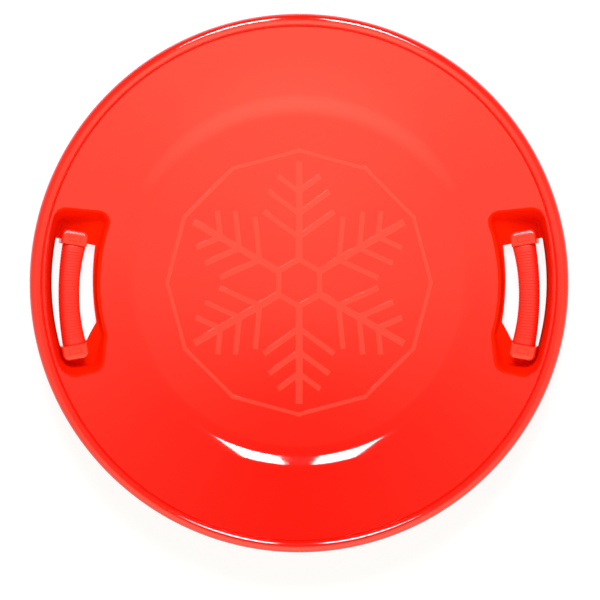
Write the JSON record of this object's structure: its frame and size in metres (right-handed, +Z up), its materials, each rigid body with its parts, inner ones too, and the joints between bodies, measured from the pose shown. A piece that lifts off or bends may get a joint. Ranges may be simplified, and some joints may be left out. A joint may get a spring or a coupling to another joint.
{
  "type": "saucer sled",
  "caption": "Round plastic saucer sled: a shallow dish with a flat seat, sloping wall and rolled rim, and a curved grip handle snapped into a slotted hand bay on each side.",
  "frame": {"origin": "on the ground under the middle of the dish", "axes": "+Z up, +Y to the front of the sled, +X to the rider's right"},
  "size_m": [0.665, 0.665, 0.085],
  "materials": {
    "dish": "glossy moulded plastic",
    "handle": "glossy moulded plastic",
    "grip": "moulded plastic with fine rings"
  },
  "bodies": {
    "root": {"saucer_shell": "dish", "right_handle_bar": "handle", "right_grip_sleeve": "grip", "right_front_cap": "handle", "right_rear_cap": "handle", "left_handle_bar": "handle", "left_grip_sleeve": "grip", "left_front_cap": "handle", "left_rear_cap": "handle"}
  },
  "joints": []
}
